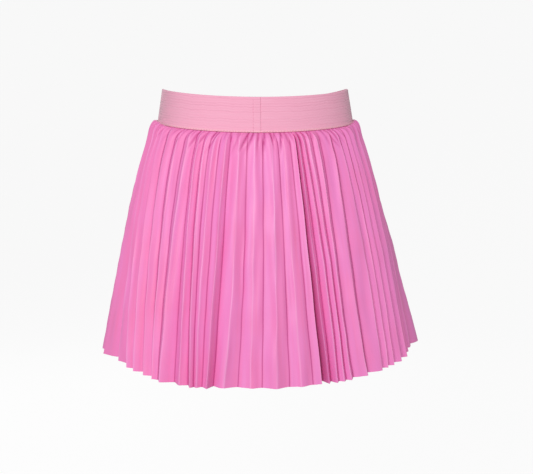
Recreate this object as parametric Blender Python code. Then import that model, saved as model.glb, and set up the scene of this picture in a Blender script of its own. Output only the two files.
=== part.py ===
"""A pleated faux leather mini skirt on a wide elastic waistband, filled out as it is worn.

Lengths are in metres and +Z is up. The origin is the centre of the waist opening at half the band's
height. The side with the band's join faces -Y. A turn is an angle round the waist, seen from above:
0 degrees is the middle of that side and +90 degrees is +X.
"""

from collections import namedtuple

import bpy
import numpy as np

MM = 0.001

# Driving sizes.
BAND_HEIGHT = 50 * MM
BAND_THICKNESS = 2.0 * MM
CLOTH_THICKNESS = 1.2 * MM
CLOTH_HEIGHT = 342 * MM  # band's lower edge to hem, straight down, at the sides
TUCK = 7 * MM  # seam allowance of the skirt behind the band
TUCK_GAP = 0.5 * MM  # between that allowance and the band
SEAM_GAP = 0.3 * MM

# The waist is a saddle: high over the hips, low at the front, lower still at the back.
HIP_RISE = 31 * MM  # band's top edge at the hips, above the origin
Dip = namedtuple("Dip", "waist hem")
FRONT_DIP = Dip(waist=11 * MM, hem=20 * MM)
BACK_DIP = Dip(waist=17 * MM, hem=25 * MM)
DIP_POWER = Dip(waist=1.4, hem=2.0)  # of cos(turn): the lower, the steeper the dip near the hips

# Ribs woven into the elastic, and the plain selvedge below them.
RIBS = 14
RIB_HEIGHT = 0.5 * MM
FAINT_RIB_HEIGHT = 0.3 * MM
FIRST_FAINT_RIB = 8
BAND_COLUMNS = 64

# How far the cloth reaches from the waist's centre, at each level below the band's lower edge.
# At the hips the gathers puff up over that edge, by the height in the last column.
Level = namedtuple("Level", "fall left right front back puff")
BAND_TOP = Level(fall=-50, left=138, right=138.5, front=97, back=98, puff=0)
BAND_FOOT = Level(fall=0, left=145.5, right=147, front=103, back=104, puff=0)
LEVELS = (
    Level(fall=1.2, left=149, right=150, front=107, back=108, puff=0),
    Level(fall=3, left=151, right=152, front=110, back=111, puff=8),
    Level(fall=9, left=155, right=155.5, front=113, back=115, puff=5),
    Level(fall=24, left=160, right=160.5, front=117, back=120, puff=0),
    Level(fall=65, left=172.5, right=174.5, front=125, back=128, puff=0),
    Level(fall=120, left=186, right=190.5, front=134, back=137, puff=0),
    Level(fall=185, left=200, right=208.5, front=144, back=147, puff=0),
    Level(fall=255, left=214, right=226, front=154, back=157, puff=0),
    Level(fall=342, left=230.5, right=248, front=166, back=169, puff=0),
)
PUFF_POWER = 24  # of sin(turn): the higher, the closer the puff keeps to the hips

# The pleats. Each has one outer crease, and one inner crease between it and the next pleat.
# turn_hem, turn_half and turn_waist: where the outer crease lies at the hem, half way and by the band
# stand: how far the outer crease stands out from the level's reach at the hem
# depth: how far the inner crease lies behind the outer creases beside it, at the hem
# lean: where the inner crease lies, from 0 at this outer crease to 1 at the next one
Pleat = namedtuple("Pleat", "turn_hem turn_half turn_waist stand depth lean")
FRONT_PLEATS = (
    Pleat(-80.5, -81.5, -83.0, 3, 14, 0.64),
    Pleat(-66.5, -70.5, -74.0, -5, 10, 0.62),
    Pleat(-56.5, -64.0, -68.0, 3, 8, 0.62),
    Pleat(-51.5, -57.5, -62.5, 6, 11, 0.60),
    Pleat(-45.5, -51.0, -55.5, 9, 9, 0.65),
    Pleat(-40.5, -44.5, -48.0, 16, 6, 0.60),
    Pleat(-36.5, -38.5, -40.0, 22, 12, 0.62),
    Pleat(-29.0, -31.5, -34.0, 20, 10, 0.65),
    Pleat(-25.0, -28.0, -30.0, 25, 5, 0.50),
    Pleat(-23.0, -24.5, -25.0, 21, 8, 0.45),
    Pleat(-19.5, -19.0, -18.5, 21, 13, 0.30),
    Pleat(-14.0, -12.0, -11.5, 11, 10, 0.52),
    Pleat(-5.2, -4.2, -3.8, 7, 8, 0.47),
    Pleat(3.5, 4.5, 5.0, 13, 8, 0.55),
    Pleat(11.4, 11.3, 11.4, 10, 9, 0.60),
    Pleat(20.9, 20.0, 19.4, 11, 16, 0.50),
    Pleat(23.6, 23.9, 22.6, 13, 6, 0.50),
    Pleat(26.2, 26.6, 25.6, 12, 7, 0.50),
    Pleat(28.9, 29.2, 30.5, 12, 9, 0.30),
    Pleat(35.8, 36.2, 39.5, 9, 11, 0.30),
    Pleat(43.6, 45.6, 46.8, 6, 9, 0.35),
    Pleat(47.4, 50.3, 51.8, 4, 7, 0.40),
    Pleat(51.2, 54.6, 56.4, 3, 9, 0.38),
    Pleat(56.9, 59.8, 62.0, 2, 10, 0.36),
    Pleat(63.6, 67.0, 70.5, -1, 10, 0.40),
    Pleat(71.5, 74.0, 77.0, -8, 9, 0.45),
    Pleat(79.5, 81.0, 83.0, -8, 12, 0.50),
)
Seam = namedtuple("Seam", "turn_hem turn_half turn_waist stand")
LEFT_SEAM = Seam(-85.5, -86.5, -88.0, -9)
RIGHT_SEAM = Seam(86.0, 87.0, 88.0, -11)

# The back's pleats are of the same kind, and a loop spaces them as unevenly.
BACK_PLEATS = 26
PITCH_SWINGS = ((0.30, 2.4, 0.0), (0.18, 5.1, 1.0))  # size, step and start of each swing
BACK_STAND = 6.0
BACK_STAND_SWING = 6.0
BACK_STAND_STEP = 0.46
BACK_STAND_START = 0.65
BACK_DEPTH = 9.5
BACK_DEPTH_SWING = 3.0
BACK_DEPTH_STEP = 1.9

# How the pleats open on their way down.
CREASE_WIDTH = 2.0 * MM  # flat of a crease, because thick cloth doesn't fold to a knife edge
WAIST_FALL = 40 * MM  # level of turn_waist; turn_half is half way from there to the hem
Opening = namedtuple("Opening", "fall depth stand")
OPENING = (
    Opening(fall=0, depth=0.0, stand=0.0),
    Opening(fall=3, depth=0.1, stand=0.0),
    Opening(fall=24, depth=0.42, stand=0.03),
    Opening(fall=120, depth=0.62, stand=0.25),
    Opening(fall=342, depth=1.0, stand=1.0),
)

# Finishes, as colour, roughness.
CLOTH_FINISH = ((0.91, 0.25, 0.54, 1.0), 0.42)
BAND_FINISH = ((0.90, 0.385, 0.54, 1.0), 0.75)


def clear_scene():
    for item in list(bpy.data.objects):
        bpy.data.objects.remove(item, do_unlink=True)


def column(rows, name, scale=MM):
    """One named column of a table, as an array in metres."""
    return np.array([getattr(row, name) for row in rows], float) * scale


def section(turns, falls, levels):
    """Points of the levels' sections, and the directions that face out of them.

    A section is four quarter ellipses: x = side reach * sin(turn), y = -end reach * cos(turn).
    """
    known = column(levels, "fall")
    reach = {name: np.interp(falls, known, column(levels, name)) for name in Level._fields[1:]}
    across = np.where(np.sin(turns) > 0, reach["right"], reach["left"])
    along = np.where(np.cos(turns) > 0, reach["front"], reach["back"])
    rise = height(turns, falls) + reach["puff"] * np.sin(turns) ** PUFF_POWER
    points = np.stack([across * np.sin(turns), -along * np.cos(turns), rise], axis=-1)
    out = np.stack([np.sin(turns) / across, -np.cos(turns) / along, 0 * turns], axis=-1)
    return points, out / np.linalg.norm(out, axis=-1, keepdims=True)


def height(turns, falls):
    """Height of a point: its fall below the hips, less the dip of the saddle at its turn."""
    share = np.clip(falls / CLOTH_HEIGHT, 0, 1)
    facing = np.cos(turns)
    waist = np.where(facing > 0, FRONT_DIP.waist, BACK_DIP.waist) * np.abs(facing) ** DIP_POWER.waist
    hem = np.where(facing > 0, FRONT_DIP.hem, BACK_DIP.hem) * np.abs(facing) ** DIP_POWER.hem
    return HIP_RISE - BAND_HEIGHT - falls - waist * (1 - share) - hem * share


def back_pleats():
    """The back's pleats: evenly spaced at the waist, and at the hem by a pitch that swings."""
    gaps = np.arange(BACK_PLEATS + 1)
    pitch = 1 + sum(size * np.sin(step * gaps + start) for size, step, start in PITCH_SWINGS)
    at_hem = np.cumsum(pitch) / pitch.sum()
    at_waist = (gaps + 1) / (BACK_PLEATS + 1)
    first = RIGHT_SEAM
    last = LEFT_SEAM
    pleats = []
    for i in range(BACK_PLEATS):
        turn_hem = first.turn_hem + at_hem[i] * (last.turn_hem + 360 - first.turn_hem)
        turn_waist = first.turn_waist + at_waist[i] * (last.turn_waist + 360 - first.turn_waist)
        pleats.append(Pleat(
            turn_hem=turn_hem,
            turn_half=(turn_hem + turn_waist) / 2,
            turn_waist=turn_waist,
            stand=BACK_STAND + BACK_STAND_SWING * np.sin(BACK_STAND_STEP * i + BACK_STAND_START),
            depth=BACK_DEPTH + BACK_DEPTH_SWING * np.sin(BACK_DEPTH_STEP * i),
            lean=0.5,
        ))
    return pleats


def turns_at(rows, falls):
    """Turns of a table's creases at each fall, on the parabola through their three given turns."""
    down = np.clip((falls - WAIST_FALL) / (CLOTH_HEIGHT - WAIST_FALL), 0, 1)[:, None]
    waist, half, hem = (column(rows, name, np.pi / 180) for name in ("turn_waist", "turn_half", "turn_hem"))
    return waist * (1 - down) * (1 - 2 * down) + half * 4 * down * (1 - down) + hem * down * (2 * down - 1)


def panel_creases(pleats, first, last, falls):
    """Turns, hem stand-offs and hem half depths of one panel's creases, from seam to seam.

    Outer and inner creases take turns. An inner crease lies between its two outer creases by lean.
    """
    outer = turns_at(pleats, falls)
    lean = column(pleats, "lean", 1)[:-1]
    stand = column(pleats, "stand")
    depth = column(pleats, "depth")
    count = 2 * len(pleats) + 1
    turns = np.empty((len(falls), count))
    turns[:, [0]] = turns_at([first], falls)
    turns[:, 1::2] = outer
    turns[:, 2:-1:2] = outer[:, :-1] + lean * (outer[:, 1:] - outer[:, :-1])
    turns[:, [-1]] = turns_at([last], falls)
    middle = np.empty(count)
    half = np.empty(count)
    middle[1::2] = stand - depth / 2
    half[1::2] = depth / 2
    middle[2:-1:2] = (stand[1:] + stand[:-1]) / 2 - depth[:-1] / 2
    half[2:-1:2] = -depth[:-1] / 2
    for end, seam, beside in ((0, first, depth[0]), (-1, last, depth[-1])):
        middle[end] = seam.stand * MM + beside / 2
        half[end] = -beside / 2
    return turns, middle, half


def behind_band(rise):
    """The cloth's level this far above the band's lower edge, just clear of the band's inner face."""
    share = rise / BAND_HEIGHT
    inward = (BAND_THICKNESS + TUCK_GAP) / MM
    reaches = (foot + (top - foot) * share - inward for top, foot in zip(BAND_TOP[1:5], BAND_FOOT[1:5]))
    return Level(-rise / MM, *reaches, puff=0)


def cloth_grid():
    """The skirt's outer face, as rows of points from the tuck to the hem, once round from the left seam.

    Also gives the column where the back panel begins. The front panel has the columns before it.
    """
    levels = (behind_band(TUCK), behind_band(-TUCK_GAP), *LEVELS)
    falls = column(levels, "fall")
    turned_seam = Seam(*(turn + 360 for turn in LEFT_SEAM[:3]), LEFT_SEAM.stand)
    front = panel_creases(FRONT_PLEATS, LEFT_SEAM, RIGHT_SEAM, falls)
    back = panel_creases(back_pleats(), RIGHT_SEAM, turned_seam, falls)
    turns = np.concatenate([front[0][:, :-1], back[0][:, :-1]], axis=1)
    middle, half = (np.concatenate([a[:-1], b[:-1]]) for a, b in zip(front[1:], back[1:]))
    right_seam = front[0].shape[1] - 1

    # Each crease is a narrow flat of two columns. At a seam the flat is the gap between the panels.
    widths = np.full(turns.shape[1], CREASE_WIDTH)
    widths[[0, right_seam]] = SEAM_GAP
    known = column(OPENING, "fall")
    open_depth = np.interp(falls, known, column(OPENING, "depth", 1))[:, None]
    open_stand = np.interp(falls, known, column(OPENING, "stand", 1))[:, None]
    stand = middle * open_stand + half * open_depth
    rows = falls[:, None] + 0 * turns
    nearby = 1e-3
    before, _ = section(turns - nearby, rows, levels)
    after, _ = section(turns + nearby, rows, levels)
    per_turn = np.linalg.norm((after - before)[..., :2], axis=-1) / (2 * nearby)
    side = np.array([-0.5, 0.5]) * (widths / per_turn)[..., None]
    turns = (turns[..., None] + side).reshape(len(falls), -1)
    points, out = section(turns, rows.repeat(2, axis=1), levels)
    grid = points + out * stand.repeat(2, axis=1)[..., None]
    # Start at the first column after the left seam's gap.
    grid = np.roll(grid, -1, axis=1)
    return grid, 2 * right_seam


def inner_face(grid, thickness, seams):
    """The grid moved in by the wall's thickness, square to the four faces round each point.

    Each seam is the column before a gap. The two edges there move straight in, so the gap stays even.
    """
    ends = np.concatenate([2 * grid[:1] - grid[1:2], grid, 2 * grid[-1:] - grid[-2:-1]])
    to_right = np.roll(grid, -1, axis=1) - grid
    to_left = np.roll(grid, 1, axis=1) - grid
    down = ends[2:] - grid
    up = ends[:-2] - grid
    faces = np.stack([
        np.cross(down, to_right), np.cross(to_left, down), np.cross(up, to_left), np.cross(to_right, up)
    ])
    faces /= np.linalg.norm(faces, axis=-1, keepdims=True)
    middle = faces.sum(axis=0)
    for seam in seams:
        across = to_right[:, seam] / np.linalg.norm(to_right[:, seam], axis=-1, keepdims=True)
        for edge in (seam, (seam + 1) % grid.shape[1]):
            middle[:, edge] -= across * (middle[:, edge] * across).sum(axis=-1, keepdims=True)
    middle /= np.linalg.norm(middle, axis=-1, keepdims=True)
    square = (faces * middle).sum(axis=-1).mean(axis=0)
    return grid - middle * (thickness / square)[..., None]


def wall_object(name, outer, inner, finish):
    """One closed wall: its section runs down the outer face and up the inner one, from end to end.

    Both faces are rows of points from top to bottom. They have the same columns, but may have
    different rows. The section's loop, swept along the columns, is the sides of the wall, and its
    first and last loop are filled with a fan.
    """
    sweep = np.concatenate([outer, inner[::-1]])
    loop, columns = sweep.shape[:2]
    index = np.arange(loop * columns).reshape(loop, columns)
    below = np.roll(index, -1, axis=0)
    sides = np.stack([index[:, :-1], below[:, :-1], below[:, 1:], index[:, 1:]], axis=-1)
    ends = [index[:, 0][::-1].tolist(), index[:, -1].tolist()]
    mesh = bpy.data.meshes.new(name)
    mesh.from_pydata(sweep.reshape(-1, 3).tolist(), [], sides.reshape(-1, 4).tolist() + ends)
    colour, roughness = finish
    material = bpy.data.materials.new(name + "_finish")
    material.use_nodes = True
    shader = material.node_tree.nodes["Principled BSDF"]
    shader.inputs["Base Color"].default_value = colour
    shader.inputs["Roughness"].default_value = roughness
    mesh.materials.append(material)
    item = bpy.data.objects.new(name, mesh)
    bpy.context.collection.objects.link(item)
    return item


def make_skirt():
    """Front and back panel, cut from one ring of points at the side seams."""
    grid, split = cloth_grid()
    inner = inner_face(grid, CLOTH_THICKNESS, seams=(split - 1, grid.shape[1] - 1))
    wall_object("skirt_front", grid[:, :split], inner[:, :split], CLOTH_FINISH)
    wall_object("skirt_back", grid[:, split:], inner[:, split:], CLOTH_FINISH)


def make_waistband():
    """The elastic: a strip with raised ribs, bent round the waist so that its ends meet in front."""
    crests = np.arange(RIBS) + 0.5
    grooves = np.arange(RIBS + 1)
    down = np.sort(np.concatenate([crests, grooves])) / RIBS
    raised = np.zeros(2 * RIBS + 1)
    raised[1::2] = np.where(np.arange(RIBS) < FIRST_FAINT_RIB, RIB_HEIGHT, FAINT_RIB_HEIGHT)
    levels = (BAND_TOP, BAND_FOOT)
    half_gap = SEAM_GAP / 2 / (BAND_TOP.left * MM)
    turns = np.linspace(half_gap, 2 * np.pi - half_gap, BAND_COLUMNS + 1)[None, :]
    falls = (BAND_HEIGHT * (down - 1))[:, None]
    turns, falls = np.broadcast_arrays(turns, falls)
    points, out = section(turns, falls, levels)
    outer = points + out * raised[:, None, None]
    inner = (points - out * BAND_THICKNESS)[[0, -1]]
    wall_object("waistband", outer, inner, BAND_FINISH)


clear_scene()
make_waistband()
make_skirt()
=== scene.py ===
# %% [markdown]
# # A pleated mini skirt, made from numbers
#
# The real skirt has three pieces. A strip of wide ribbed elastic goes round the waist. A front and a back
# panel of thin faux leather hang from it. Each panel was folded into a paper mould and pressed with heat,
# so that its pleats stay, and they open like a fan towards the hem. Sewing then gathered the panels' top
# edge to the elastic.
#
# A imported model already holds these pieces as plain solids. This lesson loads it as a fixed frame, and
# dresses each solid with a finer surface that fits it: rounded creases, gathers, ribs, stitches, and two
# kinds of cloth.

from collections import namedtuple

import bpy
import numpy as np
from mathutils import Matrix, Vector


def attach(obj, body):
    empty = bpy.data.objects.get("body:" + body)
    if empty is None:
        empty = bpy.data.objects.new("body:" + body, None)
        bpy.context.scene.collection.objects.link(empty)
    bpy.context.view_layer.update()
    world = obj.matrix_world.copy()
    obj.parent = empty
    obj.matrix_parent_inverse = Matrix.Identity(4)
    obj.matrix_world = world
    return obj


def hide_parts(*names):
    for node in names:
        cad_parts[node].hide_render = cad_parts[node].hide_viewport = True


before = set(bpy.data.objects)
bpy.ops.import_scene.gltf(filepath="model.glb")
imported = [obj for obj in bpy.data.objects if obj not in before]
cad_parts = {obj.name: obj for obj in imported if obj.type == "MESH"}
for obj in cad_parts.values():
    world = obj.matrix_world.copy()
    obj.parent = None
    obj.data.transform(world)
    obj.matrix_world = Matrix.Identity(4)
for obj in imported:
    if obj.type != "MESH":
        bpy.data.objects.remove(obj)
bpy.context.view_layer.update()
print("CAD nodes:", ", ".join(sorted(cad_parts)))

# %% [markdown]
# ## Where the camera stands
#
# The camera comes first, because every later choice is judged through it. It stands 1.65 m from the skirt
# at the height of the waist, a little to the left, and looks down. A lens is a number of millimetres on a
# 36 mm sensor, but a photograph is measured in pixels, so the focal length is worked out in pixels and
# turned into millimetres.

# %% Camera
IMAGE_WIDTH_PX = 533
FOCAL_LENGTH_PX = 1095.6
SENSOR_WIDTH_MM = 36
CAMERA_DISTANCE = 1.65
CAMERA_HEIGHT = 0.031
CAMERA_SIDE_DEG = -4.5  # round the skirt from its middle, less than zero to the left
CAMERA_HEADING_DEG = 5.086  # from +Y towards +X
CAMERA_PITCH_DEG = -7.7

side, heading, pitch = np.radians([CAMERA_SIDE_DEG, CAMERA_HEADING_DEG, CAMERA_PITCH_DEG])
forward = Vector((np.sin(heading) * np.cos(pitch), np.cos(heading) * np.cos(pitch), np.sin(pitch)))
rightward = Vector((np.cos(heading), -np.sin(heading), 0))
lens = bpy.data.cameras.new("camera")
lens.sensor_width = SENSOR_WIDTH_MM
lens.lens = FOCAL_LENGTH_PX / IMAGE_WIDTH_PX * SENSOR_WIDTH_MM
camera = bpy.data.objects.new("camera", lens)
camera.matrix_world = Matrix((rightward, rightward.cross(forward), -forward)).transposed().to_4x4()
camera.location = (CAMERA_DISTANCE * np.sin(side), -CAMERA_DISTANCE * np.cos(side), CAMERA_HEIGHT)
bpy.context.collection.objects.link(camera)
bpy.context.scene.camera = camera
print(f"camera: {lens.lens:.1f} mm lens at", [round(value, 3) for value in camera.location])

# %% [markdown]
# ## The sizes that the cloth follows
#
# Every point of the skirt has two numbers. Its *turn* is the angle round the waist: 0 degrees is the middle
# of the side with the band's join, and 90 degrees is +X. Its *fall* is how far it lies below the band's
# lower edge. A table of levels says how far the cloth reaches to each side at some falls. It is the solids'
# own table, so the new cloth lies where theirs does, with finer rows just under the band, where the cloth
# rolls up against the elastic before it falls.

# %% Sizes and levels
MM = 0.001
BAND_HEIGHT = 50 * MM
BAND_THICKNESS = 2.0 * MM
CLOTH_THICKNESS = 1.2 * MM
CLOTH_HEIGHT = 342 * MM  # band's lower edge to hem, at the sides
TUCK = 7 * MM  # seam allowance behind the band
TUCK_GAP = 0.25 * MM
SEAM_GAP = 0.3 * MM
HIP_RISE = 31 * MM  # band's top edge at the hips, above the origin

Dip = namedtuple("Dip", "waist hem")
FRONT_DIP = Dip(waist=11 * MM, hem=20 * MM)
BACK_DIP = Dip(waist=17 * MM, hem=25 * MM)
DIP_POWER = Dip(waist=1.4, hem=2.0)  # of cos(turn)

Level = namedtuple("Level", "fall left right front back puff")
BAND_TOP = Level(-50, 138, 138.5, 97, 98, 0)
BAND_FOOT = Level(0, 145.5, 147, 103, 104, 0)
# In millimetres: how far below the band's lower edge, how far the cloth reaches each way, and how far it
# puffs up at the hips.
LEVELS = (
    Level(0.5, 146.0, 147.5, 104, 105, 0),
    Level(1.9, 147.2, 148.6, 107, 108, 5.8),
    Level(3.4, 150.5, 151.5, 109.5, 110.5, 7.5),
    Level(9, 155, 155.5, 113, 115, 5),
    Level(24, 160, 160.5, 117, 120, 0),
    Level(65, 172.5, 174.5, 125, 128, 0),
    Level(120, 186, 190.5, 134, 137, 0),
    Level(185, 200, 208.5, 144, 147, 0),
    Level(255, 214, 226, 154, 157, 0),
    Level(342, 230.5, 248, 166, 169, 0),
)
PUFF_POWER = 12  # of sin(turn): the higher, the closer the puff keeps to the hips
print(f"{len(LEVELS)} levels, hem {LEVELS[-1].left + LEVELS[-1].right:.0f} mm wide")

# %% [markdown]
# A table holds a few rows, and the surface needs hundreds. Straight lines between the rows would show as
# kinks in the shine of the cloth, and a free spline would swing past the rows. A monotone cubic curve does
# neither.

# %% A smooth curve through a table
def column(rows, name, scale=MM):
    """One named column of a table, as an array in metres."""
    return np.array([getattr(row, name) for row in rows], float) * scale


def smooth_curve(x, known, values):
    """Values at x, on a cubic Hermite curve through the known values that never passes them.

    The slope at a row is the harmonic mean of the slopes beside it, or 0 where they have opposite signs.
    """
    step = np.diff(known)
    rise = np.diff(values) / step
    product = rise[1:] * rise[:-1]
    total = np.where(product > 0, rise[1:] + rise[:-1], 1)
    slope = np.concatenate([rise[:1], np.where(product > 0, 2 * product / total, 0), rise[-1:]])
    x = np.clip(x, known[0], known[-1])
    row = np.clip(np.searchsorted(known, x, side="right") - 1, 0, len(step) - 1)
    t = (x - known[row]) / step[row]
    start = values[row] + t * step[row] * slope[row] * (1 - t) ** 2
    bend = t * t * (3 - 2 * t) * (values[row + 1] - values[row])
    return start + bend + t * t * (t - 1) * step[row] * slope[row + 1]


print("reach of the right side 40 mm down:", smooth_curve(np.array(40.0), column(LEVELS, "fall", 1),
                                                       column(LEVELS, "right", 1)).round(1), "mm")

# %% [markdown]
# ## From turn and fall to a point in space
#
# Seen from above, a waist is an oval. Four quarter ellipses, one for each pair of reaches, make an oval
# that is fuller on one side than on the other. Seen from the side, the band isn't level: it is high over
# the hips and dips to the front and back. One function does both, for whole arrays of turns and falls.

# %% The skirt's section
def height(turns, falls):
    """Height above the origin.

    z = hip rise - band height - fall - dip, where dip = waist dip * |cos turn|**1.4 at the band, and
    changes evenly to hem dip * |cos turn|**2 at the hem.
    """
    share = np.clip(falls / CLOTH_HEIGHT, 0, 1)
    facing = np.cos(turns)
    waist = np.where(facing > 0, FRONT_DIP.waist, BACK_DIP.waist) * np.abs(facing) ** DIP_POWER.waist
    hem = np.where(facing > 0, FRONT_DIP.hem, BACK_DIP.hem) * np.abs(facing) ** DIP_POWER.hem
    return HIP_RISE - BAND_HEIGHT - falls - waist * (1 - share) - hem * share


def section(turns, falls, levels):
    """Points on the levels' sections, and the level directions that face straight out of them.

    x = side reach * sin(turn), y = -end reach * cos(turn), and z = height + puff * sin(turn)**12.
    """
    known = column(levels, "fall")
    left, right, front, back, puff = (
        smooth_curve(falls, known, column(levels, name)) for name in Level._fields[1:]
    )
    across = np.where(np.sin(turns) > 0, right, left)
    along = np.where(np.cos(turns) > 0, front, back)
    rise = height(turns, falls) + puff * np.sin(turns) ** PUFF_POWER
    points = np.stack([across * np.sin(turns), -along * np.cos(turns), rise], axis=-1)
    out = np.stack([np.sin(turns) / across, -np.cos(turns) / along, 0 * turns], axis=-1)
    return points, out / np.linalg.norm(out, axis=-1, keepdims=True)


def behind_band(rise):
    """The cloth's level this far above the band's lower edge, just clear of the band's inner face."""
    share = rise / BAND_HEIGHT
    inward = (BAND_THICKNESS + TUCK_GAP) / MM
    reaches = (foot + (top - foot) * share - inward for top, foot in zip(BAND_TOP[1:5], BAND_FOOT[1:5]))
    return Level(-rise / MM, *reaches, puff=0)


CLOTH_LEVELS = (behind_band(TUCK), behind_band(-TUCK_GAP), *LEVELS)
hem_front = section(np.array(0.0), np.array(CLOTH_HEIGHT), CLOTH_LEVELS)[0]
print("middle of the hem in mm:", (hem_front / MM).round(1))

# %% [markdown]
# ## The pleats
#
# A pleat has an outer crease and an inner crease. On a new skirt all are alike, but here the cloth has
# swung and settled, and some pleats have closed while others stand open. That unevenness is what makes it
# look like cloth. So the side that the camera sees has a table with one row for each pleat. The other side
# has the same kind of pleats, and a loop spaces them as unevenly.

# %% Tables of pleats
# turn_hem, turn_half, turn_waist: degrees of the outer crease at the hem, half way, and by the band
# stand, depth: millimetres that the outer crease stands out at the hem, and that the inner one lies behind
# lean: where the inner crease lies, from 0 at this outer crease to 1 at the next
Pleat = namedtuple("Pleat", "turn_hem turn_half turn_waist stand depth lean")
FRONT_PLEATS = (
    Pleat(-80.5, -81.5, -83.0, 3, 14, 0.64),
    Pleat(-66.5, -70.5, -74.0, -5, 10, 0.62),
    Pleat(-56.5, -64.0, -68.0, 3, 8, 0.62),
    Pleat(-51.5, -57.5, -62.5, 6, 11, 0.60),
    Pleat(-45.5, -51.0, -55.5, 9, 9, 0.65),
    Pleat(-40.5, -44.5, -48.0, 16, 6, 0.60),
    Pleat(-36.5, -38.5, -40.0, 22, 12, 0.62),
    Pleat(-29.0, -31.5, -34.0, 20, 10, 0.65),
    Pleat(-25.0, -28.0, -30.0, 25, 5, 0.50),
    Pleat(-23.0, -24.5, -25.0, 21, 8, 0.45),
    Pleat(-19.5, -19.0, -18.5, 21, 13, 0.30),
    Pleat(-14.0, -12.0, -11.5, 11, 10, 0.52),
    Pleat(-5.2, -4.2, -3.8, 7, 8, 0.47),
    Pleat(3.5, 4.5, 5.0, 13, 8, 0.55),
    Pleat(11.4, 11.3, 11.4, 10, 4, 0.60),
    Pleat(18.6, 17.9, 17.4, 8, 20, 0.52),
    Pleat(20.9, 20.0, 19.4, 11, 12, 0.55),
    Pleat(23.6, 23.9, 22.6, 13, 7, 0.50),
    Pleat(26.2, 26.6, 25.6, 12, 7, 0.50),
    Pleat(28.9, 29.2, 30.5, 12, 10, 0.30),
    Pleat(35.8, 36.2, 39.5, 9, 11, 0.30),
    Pleat(43.6, 45.6, 46.8, 6, 9, 0.35),
    Pleat(47.4, 50.3, 51.8, 4, 7, 0.40),
    Pleat(51.2, 54.6, 56.4, 3, 9, 0.38),
    Pleat(56.9, 59.8, 62.0, 2, 10, 0.36),
    Pleat(63.6, 67.0, 70.5, -1, 10, 0.40),
    Pleat(71.5, 74.0, 77.0, -8, 9, 0.45),
    Pleat(79.5, 81.0, 83.0, -8, 12, 0.50),
)
Seam = namedtuple("Seam", "turn_hem turn_half turn_waist stand")
LEFT_SEAM = Seam(-85.5, -86.5, -88.0, -9)
RIGHT_SEAM = Seam(86.0, 87.0, 88.0, -11)
LEFT_SEAM_AGAIN = Seam(*(turn + 360 for turn in LEFT_SEAM[:3]), LEFT_SEAM.stand)

Opening = namedtuple("Opening", "fall depth stand")
OPENING = (
    Opening(fall=0.8, depth=0.0, stand=0.0),
    Opening(fall=2, depth=0.22, stand=0.0),
    Opening(fall=7, depth=0.38, stand=0.0),
    Opening(fall=24, depth=0.45, stand=0.03),
    Opening(fall=120, depth=0.62, stand=0.25),
    Opening(fall=342, depth=1.0, stand=1.0),
)
WAIST_FALL = 40 * MM  # level of turn_waist; turn_half is half way from there to the hem

BACK_PLEATS = 26
PITCH_SWINGS = ((0.30, 2.4, 0.0), (0.18, 5.1, 1.0))  # size, step and start of each swing
BACK_STAND = 6.0
BACK_STAND_SWING = 6.0
BACK_STAND_STEP = 0.46
BACK_STAND_START = 0.65
BACK_DEPTH = 9.5
BACK_DEPTH_SWING = 3.0
BACK_DEPTH_STEP = 1.9


def back_pleats():
    """Rows for the back: evenly spaced at the waist, and at the hem by a pitch that swings."""
    gaps = np.arange(BACK_PLEATS + 1)
    pitch = 1 + sum(size * np.sin(step * gaps + start) for size, step, start in PITCH_SWINGS)
    at_hem = np.cumsum(pitch) / pitch.sum()
    at_waist = (gaps + 1) / (BACK_PLEATS + 1)
    first, last = RIGHT_SEAM, LEFT_SEAM_AGAIN
    pleats = []
    for i in range(BACK_PLEATS):
        turn_hem = first.turn_hem + at_hem[i] * (last.turn_hem - first.turn_hem)
        turn_waist = first.turn_waist + at_waist[i] * (last.turn_waist - first.turn_waist)
        pleats.append(Pleat(
            turn_hem=turn_hem,
            turn_half=(turn_hem + turn_waist) / 2,
            turn_waist=turn_waist,
            stand=BACK_STAND + BACK_STAND_SWING * np.sin(BACK_STAND_STEP * i + BACK_STAND_START),
            depth=BACK_DEPTH + BACK_DEPTH_SWING * np.sin(BACK_DEPTH_STEP * i),
            lean=0.5,
        ))
    return pleats


print(f"{len(FRONT_PLEATS)} front pleats and {len(back_pleats())} back pleats")

# %% [markdown]
# A crease isn't straight either: it leans one way by the band and another at the hem, so its turn follows a
# parabola through three given turns. Where the panel is gathered to the elastic, the creases crowd towards
# the middle, and each is pushed a little to one side. A seeded random draw gives that push, so that it is
# uneven but the same on every run.

# %% Where the creases run
CROWDING = np.radians(3.0)  # most that gathering moves creases towards the middle of a panel
PUSH = 0.33  # most that sewing pushes one crease to a side, as a share of the pitch
GATHER_FALL = 7 * MM  # fall over which both die away
WAVER = 0.012  # share of the pitch by which a crease wavers on its way down
WAVER_LENGTHS = (60 * MM, 150 * MM)
CALM = 0.55  # how much shallower the pleats are high up in the front's middle
CALM_REACH = np.radians(15)
CALM_FADE = 0.6  # share of that calm that is gone at the hem


def turns_at(rows, falls):
    """Turns of the rows' creases at each fall, on the parabola through their three given turns."""
    down = np.clip((falls - WAIST_FALL) / (CLOTH_HEIGHT - WAIST_FALL), 0, 1)[:, None]
    waist, half, hem = (column(rows, name, np.pi / 180) for name in ("turn_waist", "turn_half", "turn_hem"))
    return waist * (1 - down) * (1 - 2 * down) + half * 4 * down * (1 - down) + hem * down * (2 * down - 1)


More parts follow.
